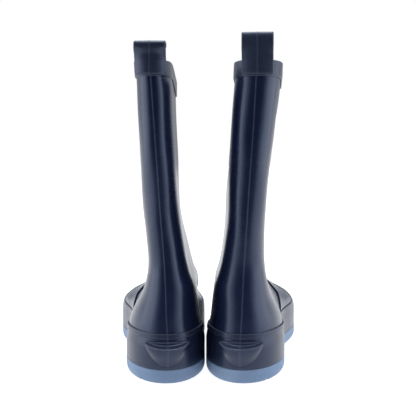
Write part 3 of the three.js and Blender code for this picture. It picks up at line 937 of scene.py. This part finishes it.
for boot in BOOTS:
    turns = sole_turns()
    back = back_line(SOLE_HEIGHT + 2)
    along = back + (front_line(SOLE_HEIGHT + 2) - back) * share_of(turns)
    rise = tread_rise(along)

    def edge(sign, offset, height):
        xy = sole_outline(boot, sign * turns, np.broadcast_to(offset, turns.shape))
        return np.concatenate([xy, np.broadcast_to(height, turns.shape)[:, None]], axis=1)

    def wall(sign):
        rows = []
        for part in np.concatenate([np.linspace(0, 0.3, 8), np.linspace(0.36, 0.96, 9)]):
            height = mix(rise, SOLE_HEIGHT, part)
            rows.append(edge(sign, wall_profile(height), height))
        rows.append(edge(sign, OVER_HANG - 0.12, SOLE_HEIGHT - 0.15))
        rows.append(edge(sign, OVER_HANG - 0.4, SOLE_HEIGHT))
        rows.append(edge(sign, OVER_HANG - SOLE_WALL, SOLE_HEIGHT))
        rows.append(edge(sign, OVER_HANG - SOLE_WALL, SOLE_FLOOR))
        return rows

    right, left = wall(1), wall(-1)
    spread = [0.06, 0.16, 0.3, 0.5, 0.7, 0.84, 0.94]
    ground = [mix(left[0], right[0], part) for part in spread]
    tray = [mix(right[-1], left[-1], part) for part in spread]
    loop = np.stack(ground + right + tray + left[::-1], axis=1)
    stations, around = loop.shape[:2]
    # Strongest at the ground and fading within a few millimetres: the sole is darker towards the
    # ground.
    wear_and_highlight = np.exp(-np.abs(loop[..., 2]) / 1.4)
    sole = mesh_piece(boot["name"] + "_sole", loop.reshape(-1, 3),
                      sheet_quads(stations, around, False, True), wear_and_highlight, merge=0.000004)
    dress(sole, boot, sole_finish, ["outsole"])
    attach(sole, body_of(boot))
    print(boot["name"], "sole stations:", stations, "round:", around)

# %% [markdown]
# ## The pull strap
#
# One strap runs up from the outside of the band, over in a loop and down inside the collar.
# Its tails are cured to the boot and its loop flexes, so it is one piece, shaped to pass from
# the boot into the loop. The tails follow the round of the collar, and the loop
# straightens out above it.

# %% The path of the strap
OUTER_TAIL, INNER_TAIL, STRAP_THICKNESS, HINGE_INSET = 15, 24, 2.0, 2.2
HINGE_HEIGHT = RIM_HEIGHT + LOOP_BEAD + FIT_GAP
TAIL_OUT, TAIL_IN = 2.8, -4.7
OUTER_STEPS, LOOP_STEPS, INNER_STEPS = 22, 61, 26


def strap_path(boot):
    """Offset out of the collar and height, from the outer tail over the loop to the inner."""
    half = STRAP_THICKNESS / 2
    swell, foot = boot["loop_depth"] / 2 - half, LOOP_BEAD - half
    head = boot["loop_height"] - LOOP_BEAD - FIT_GAP - half
    a = np.linspace(0, np.pi, LOOP_STEPS)
    widen = mix(foot, swell, ease(-0.2, 0.95, np.sin(a)))
    loop_out = -HINGE_INSET + np.sign(np.cos(a)) * widen * np.abs(np.cos(a)) ** 0.36
    loop_up = HINGE_HEIGHT + head * np.sin(a)
    tail_up = np.linspace(RIM_HEIGHT - OUTER_TAIL, RIM_HEIGHT - 0.5, OUTER_STEPS)
    down = np.linspace(RIM_HEIGHT - 0.5, RIM_HEIGHT - INNER_TAIL, INNER_STEPS)
    out = np.concatenate([np.full(OUTER_STEPS, TAIL_OUT), loop_out,
                          np.full(INNER_STEPS, TAIL_IN)])
    height = np.concatenate([tail_up, loop_up, down])
    return out, height


def turns_across(boot, height, offset, across, wanted):
    """The turns at one height whose places lie the wanted distances across the back."""
    turns = np.linspace(-1.15, 1.15, 461)
    spots = (place(boot, turns, height, offset) - skin(boot, 0.0, RIM_HEIGHT)) @ across
    order = np.argsort(spots)
    room = 0.94 * min(-spots.min(), spots.max())
    wanted = wanted * min(1, room / np.abs(wanted).max())
    return np.interp(wanted, spots[order], turns[order])


def strap_sheet(boot):
    out, height = strap_path(boot)
    u = np.sin(np.linspace(-1, 1, 45) * np.pi / 2)
    seam = np.array([-0.05, -0.025, 0.025, 0.05])
    u = np.unique(np.round(np.concatenate([u, seam]), 5))
    yaw = heading(boot, RIM_HEIGHT)
    outward = np.array([-boot["side"] * np.sin(yaw), -np.cos(yaw), 0])
    across = np.array([boot["side"] * np.cos(yaw), -np.sin(yaw), 0])
    middle = skin(boot, 0.0, RIM_HEIGHT)
    on_band = np.minimum(height, RIM_HEIGHT)
    wanted = u * (STRAP_WIDTH / 2 - 0.1)
    reach = np.stack([turns_across(boot, h, o, across, wanted)
                      for h, o in zip(on_band, np.clip(out, TAIL_IN, TAIL_OUT))])
    tail = place(boot, reach, on_band[:, None], out[:, None] + 0 * reach)
    tail[..., 2] += (height - on_band)[:, None]
    sag = (tail - tail[:, [len(u) // 2]]) @ -outward
    tail += 0.3 * np.maximum(0, sag)[..., None] * outward * (out > 0)[:, None, None]
    kept = 0.12 * sag[:1]
    level = middle * [1, 1, 0]
    loop = (level + across * (u * STRAP_WIDTH / 2)[None, :, None]
            + outward * (out[:, None, None] - kept[..., None]))
    loop = loop + np.array([0, 0, 1.0]) * height[:, None, None]
    free = ease(RIM_HEIGHT - 1, RIM_HEIGHT + 15, height)[:, None, None]
    return u, out, height, mix(tail, loop, free)


for boot in BOOTS:
    side = boot["name"]
    u, out, height, middle_sheet = strap_sheet(boot)
    along = np.gradient(middle_sheet, axis=0)
    over = np.gradient(middle_sheet, axis=1)
    normal = np.cross(over, along)
    normal /= np.linalg.norm(normal, axis=-1, keepdims=True)
    outer_tail_faces = normal[5, len(u) // 2, 1]
    if outer_tail_faces > 0:
        normal = -normal
    bead = 0.22 * np.exp(-((np.abs(u) - 0.93) / 0.03) ** 2)
    seam = 0.28 * np.exp(-((u * STRAP_WIDTH / 2) / 0.5) ** 2)
    thick = (STRAP_THICKNESS / 2) * np.sqrt(np.maximum(0.02, 1 - np.abs(u) ** 26))
    ends = np.minimum(np.arange(len(height)), np.arange(len(height))[::-1])
    taper = mix(0.45, 1.0, ease(0, 4, ends))[:, None, None]
    front = middle_sheet + normal * (thick + bead + seam)[None, :, None] * taper
    back = middle_sheet - normal * thick[None, :, None] * taper
    wear_and_highlight = np.maximum(np.exp(-(1 - np.abs(u)) / 0.03), 0.7 * seam / 0.28)
    wear_and_highlight = np.maximum(np.broadcast_to(wear_and_highlight, front.shape[:2]), np.exp(-ends / 1.5)[:, None])
    lengths = np.concatenate([[0], np.cumsum(np.hypot(np.diff(out), np.diff(height)))])
    uv = np.stack(np.broadcast_arrays(u[None, :] * STRAP_WIDTH / 2, lengths[:, None]), -1)
    strap = slab(side + "_strap", front, back, False, wear_and_highlight, uv * METRES)
    dress(strap, boot, strap_lit_finish,
          ["loop_outer_tail", "loop_inner_tail", "pull_loop"])
    joint = next(j for j in frame["joints"] if j["child"] == side + "_loop")
    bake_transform(strap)
    print(side, "strap length:", round(float(lengths[-1]), 1), "mm, joint", joint["name"])

# %% [markdown]
# ## Floor, light and camera
#
# The boots stand on plain white paper between two tall soft lights, and the wall behind the
# viewer is dark, so the rubber shines along both sides and stays deep in the middle.

# %% The floor
def white_floor():
    s = Shader("white_paper")
    place_on_floor = s.node("ShaderNodeTexCoord", {}, {}, "Object")
    tooth = s.noise(place_on_floor, 400.0, 2.0)
    material = s.finish((0.35, 0.35, 0.35, 1), 0.9 - tooth * 0.05, s.bump(tooth, 0.00002))
    shader = next(n for n in s.tree.nodes if n.type == "BSDF_PRINCIPLED")
    shader.inputs["Emission Color"].default_value = (1, 1, 1, 1)
    shader.inputs["Emission Strength"].default_value = 0.9
    return material


floor_mesh = bpy.data.meshes.new("floor")
FLOOR_REACH, FLOOR_FRONT = 6.0, -0.5
corners = [(-FLOOR_REACH, FLOOR_FRONT, 0), (FLOOR_REACH, FLOOR_FRONT, 0),
           (FLOOR_REACH, FLOOR_REACH, 0), (-FLOOR_REACH, FLOOR_REACH, 0)]
floor_mesh.from_pydata(corners, [], [(0, 1, 2, 3)])
floor = bpy.data.objects.new("floor", floor_mesh)
bpy.context.scene.collection.objects.link(floor)
floor.data.materials.append(white_floor())


# %% [markdown]
# The two side lights are wide and weak, and the one overhead is smaller and stronger, to
# pick out the straps' upper folds and the tops of the feet. The room around them is darkest
# behind the viewer. It is seen only as a reflection: straight through, the paper goes on.

# %% Soft lights
def soft_light(name, location, target, width, height, power, tint=(1, 1, 1)):
    lamp = bpy.data.lights.new(name, "AREA")
    lamp.shape, lamp.size, lamp.size_y = "RECTANGLE", width, height
    lamp.energy, lamp.color = power, tint
    obj = bpy.data.objects.new(name, lamp)
    obj.location = location
    obj.rotation_euler = (Vector(target) - Vector(location)).to_track_quat("-Z", "Y").to_euler()
    bpy.context.scene.collection.objects.link(obj)
    return obj


centre = (cad_low + cad_high) / 2
soft_light("left_panel", (-1.1, -0.1, 0.4), centre, 1.0, 0.9, 3.5)
soft_light("right_panel", (1.1, -0.1, 0.4), centre, 1.0, 0.9, 3.0)
soft_light("top_panel", (0, 0.15, 1.5), centre, 0.8, 0.7, 9)


# How light the room is, from behind the viewer, 0, to behind the boots, 1.
ROOM_LIGHT = [(0.135, 0.045), (0.175, 0.52), (0.30, 1.0), (0.75, 0.8), (1.0, 0.4)]


def studio_world(name):
    world = bpy.data.worlds.new(name)
    world.use_nodes = True
    tree = world.node_tree
    tree.nodes.clear()
    out = tree.nodes.new("ShaderNodeOutputWorld")
    white, room, pick = (tree.nodes.new(kind) for kind in (
        "ShaderNodeBackground", "ShaderNodeBackground", "ShaderNodeMixShader"))
    seen = tree.nodes.new("ShaderNodeLightPath")
    direction = tree.nodes.new("ShaderNodeTexCoord")
    parts = tree.nodes.new("ShaderNodeSeparateXYZ")
    ramp = tree.nodes.new("ShaderNodeValToRGB")
    stops = ramp.color_ramp.elements
    stops.remove(stops[-1])
    for at, light in ROOM_LIGHT:
        stop = stops[0] if at == ROOM_LIGHT[0][0] else stops.new(at)
        stop.position, stop.color = at, (light * 0.9, light * 0.945, light, 1)
    half = tree.nodes.new("ShaderNodeMath")
    half.operation = "MULTIPLY_ADD"
    half.inputs[1].default_value = 0.5
    half.inputs[2].default_value = 0.5
    tree.links.new(direction.outputs["Generated"], parts.inputs[0])
    tree.links.new(parts.outputs["Y"], half.inputs[0])
    tree.links.new(half.outputs[0], ramp.inputs[0])
    tree.links.new(ramp.outputs[0], room.inputs["Color"])
    room.inputs["Strength"].default_value = 1.3
    white.inputs["Color"].default_value = (1, 1, 1, 1)
    white.inputs["Strength"].default_value = 1.0
    tree.links.new(seen.outputs["Is Camera Ray"], pick.inputs[0])
    tree.links.new(room.outputs[0], pick.inputs[1])
    tree.links.new(white.outputs[0], pick.inputs[2])
    tree.links.new(pick.outputs[0], out.inputs["Surface"])
    bpy.context.scene.world = world


studio_world("studio")
bpy.context.scene.view_settings.view_transform = "Standard"

# %% [markdown]
# The view is from behind, at the height of the upper shaft, with a long lens that looks
# slightly down. A small shift keeps the soles in view without tilting the shafts.

# %% The camera
camera = bpy.data.cameras.new("camera")
camera.sensor_width = 36.0
camera.lens = 66.167
camera.shift_y = -0.085
viewer = bpy.data.objects.new("camera", camera)
viewer.location = (-0.0049, -0.9097, 0.2514)
bpy.context.scene.collection.objects.link(viewer)
look_down, look_left = np.radians(2.6), np.radians(-0.25)
viewer.rotation_euler = (np.pi / 2 - look_down, 0, look_left)
bpy.context.scene.camera = viewer

# %% [markdown]
# ## The model's size
#
# The model's box is written down. The visual pieces may not outgrow the model.

# %% Size of the model
print("model", [round(v, 4) for v in (*cad_low, *cad_high)])
